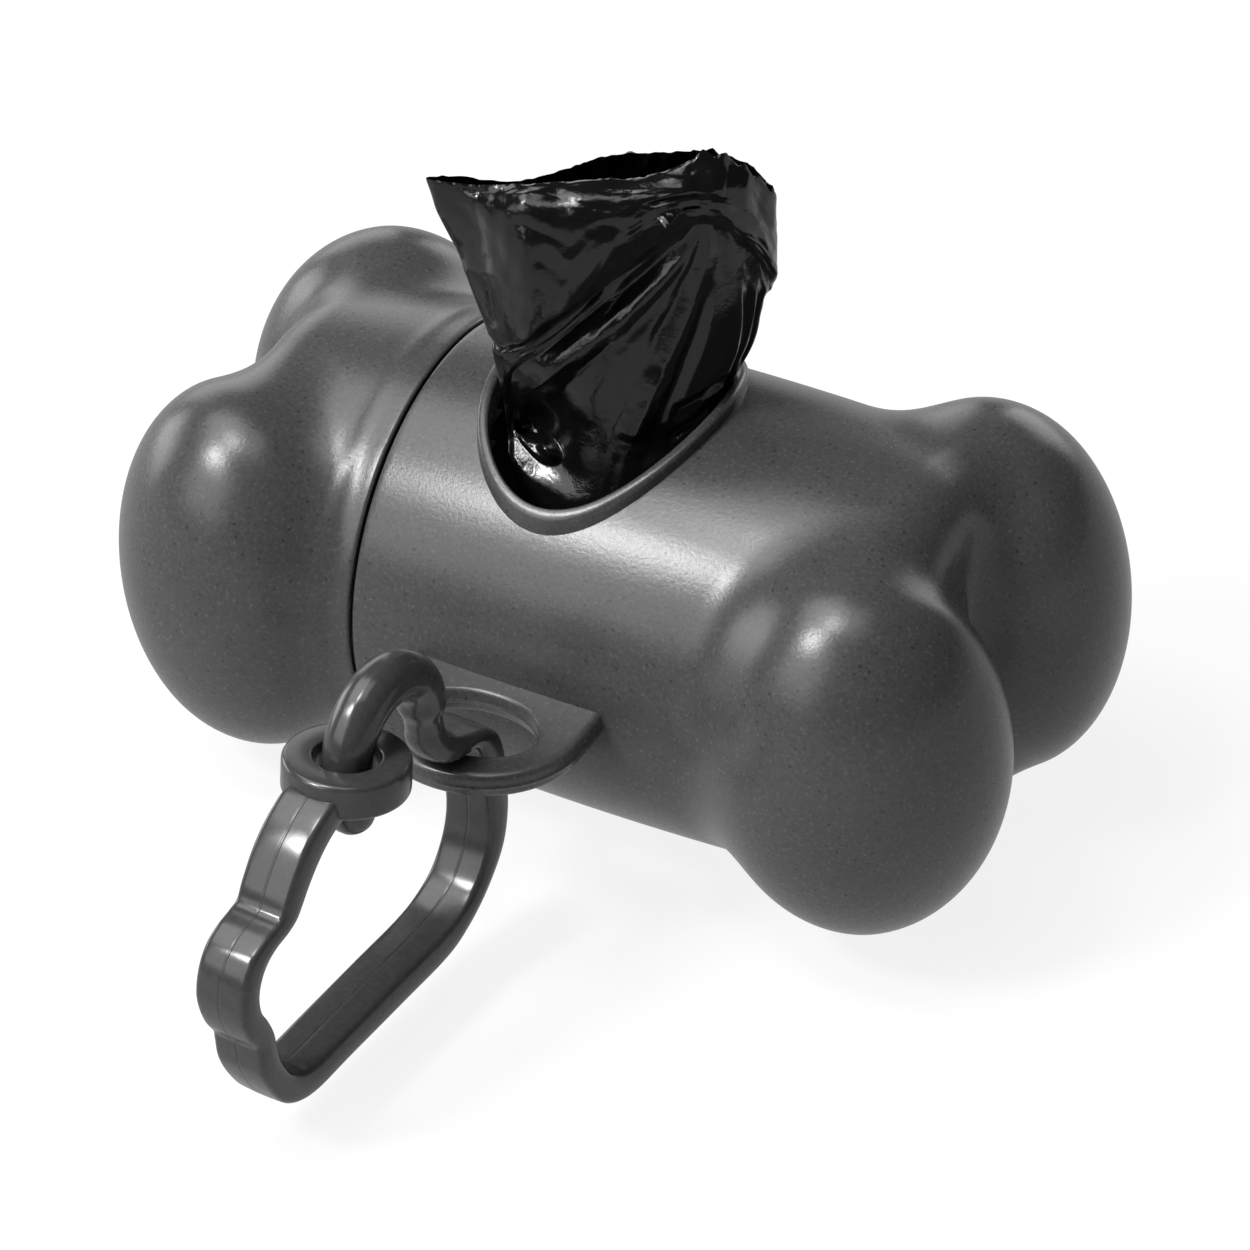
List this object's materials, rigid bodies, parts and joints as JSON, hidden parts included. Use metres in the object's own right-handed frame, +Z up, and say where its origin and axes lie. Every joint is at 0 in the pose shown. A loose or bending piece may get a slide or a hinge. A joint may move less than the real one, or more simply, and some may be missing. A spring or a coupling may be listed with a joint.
{
  "type": "bag dispenser",
  "caption": "Bone-shaped plastic case that holds a roll of pick-up bags, with a pull-off cap, a bag standing out of its oval mouth, a hanger tab and a snap clip.",
  "frame": {"origin": "on the barrel's axis, midway between the two ends of the case", "axes": "+X along the barrel from the cap to the body, -Y to the hanger tab and clip, +Z up through the mouth"},
  "size_m": [0.0886, 0.0912, 0.0676],
  "materials": {
    "case_plastic": "satin",
    "clip_plastic": "gloss",
    "bag_film": "gloss",
    "card": "matt"
  },
  "bodies": {
    "case": {"body_shell": "case_plastic"},
    "cap": {"end_cap": "case_plastic"},
    "roll": {"bag_roll": "bag_film", "roll_core": "card"},
    "bag": {"lead_bag": "bag_film"},
    "clip": {"clip_loop": "clip_plastic"},
    "hook": {"clip_hook": "clip_plastic"}
  },
  "joints": [
    {"name": "cap_pull", "type": "slide", "parent": "case", "child": "cap", "axis": [-1, 0, 0], "range_m": [0, 0.03]},
    {"name": "roll_spin", "type": "hinge", "parent": "case", "child": "roll", "pos_m": [0, 0, -0.00075], "axis": [1, 0, 0], "continuous": true},
    {"name": "bag_pull", "type": "slide", "parent": "case", "child": "bag", "axis": [0, 0, 1], "range_m": [0, 0.02]},
    {"name": "clip_swing", "type": "hinge", "parent": "case", "child": "clip", "pos_m": [0, -0.0313, 0.0019], "axis": [0.9962, -0.0872, 0], "range_deg": [-50, 10]},
    {"name": "hook_flex", "type": "hinge", "parent": "clip", "child": "hook", "pos_m": [-0.00025, -0.03419, 0.00835], "axis": [-0.9962, 0.0872, 0], "range_deg": [0, 45], "stiffness_Nm_per_rad": 0.05}
  ],
  "couplings": [
    {"joint": "roll_spin", "follows": "bag_pull", "rad_per_m": -64.516}
  ]
}
